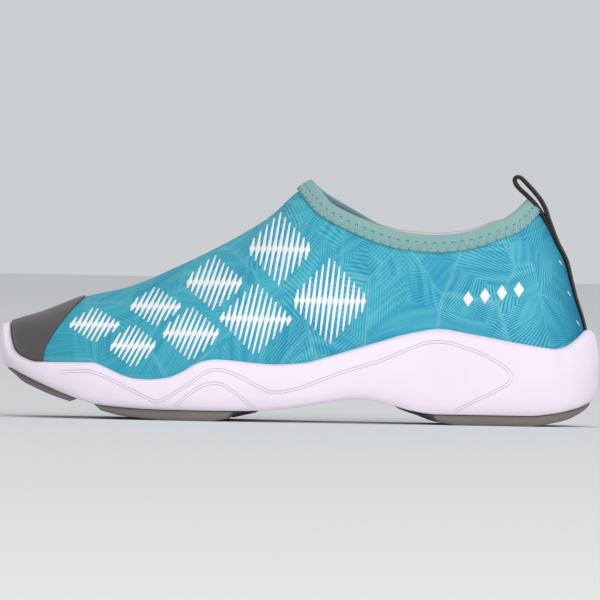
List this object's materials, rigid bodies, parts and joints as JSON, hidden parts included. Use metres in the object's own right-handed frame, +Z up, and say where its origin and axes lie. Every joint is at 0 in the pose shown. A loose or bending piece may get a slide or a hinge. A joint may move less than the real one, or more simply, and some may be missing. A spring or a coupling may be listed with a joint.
{
  "type": "water shoe",
  "caption": "Left slip-on water shoe with a turquoise stretch upper, white wrapped foam midsole, grey rubber pads and a heel pull loop.",
  "frame": {"origin": "centre of the bounding box's footprint, on the plane that the sole stands on", "axes": "-X towards the toe and +X towards the heel, -Y towards the outer (lateral) side of this left shoe, +Z up"},
  "size_m": [0.2666, 0.1014, 0.1123],
  "materials": {
    "stretch_fabric": "matt knitted stretch fabric with a line pattern and white bars",
    "film": "satin grey film",
    "binding": "matt folded stretch binding with zigzag stitches",
    "webbing": "matt woven tape",
    "sockliner": "matt cloth-faced foam",
    "foam": "smooth matt moulded foam",
    "rubber": "matt rubber"
  },
  "bodies": {
    "root": {"upper": "stretch_fabric", "toe_cap": "film", "collar_binding": "binding", "heel_tape": "webbing", "insole": "sockliner", "midsole": "foam", "outsole_toe": "rubber", "outsole_forefoot": "rubber", "outsole_heel": "rubber"}
  },
  "joints": []
}
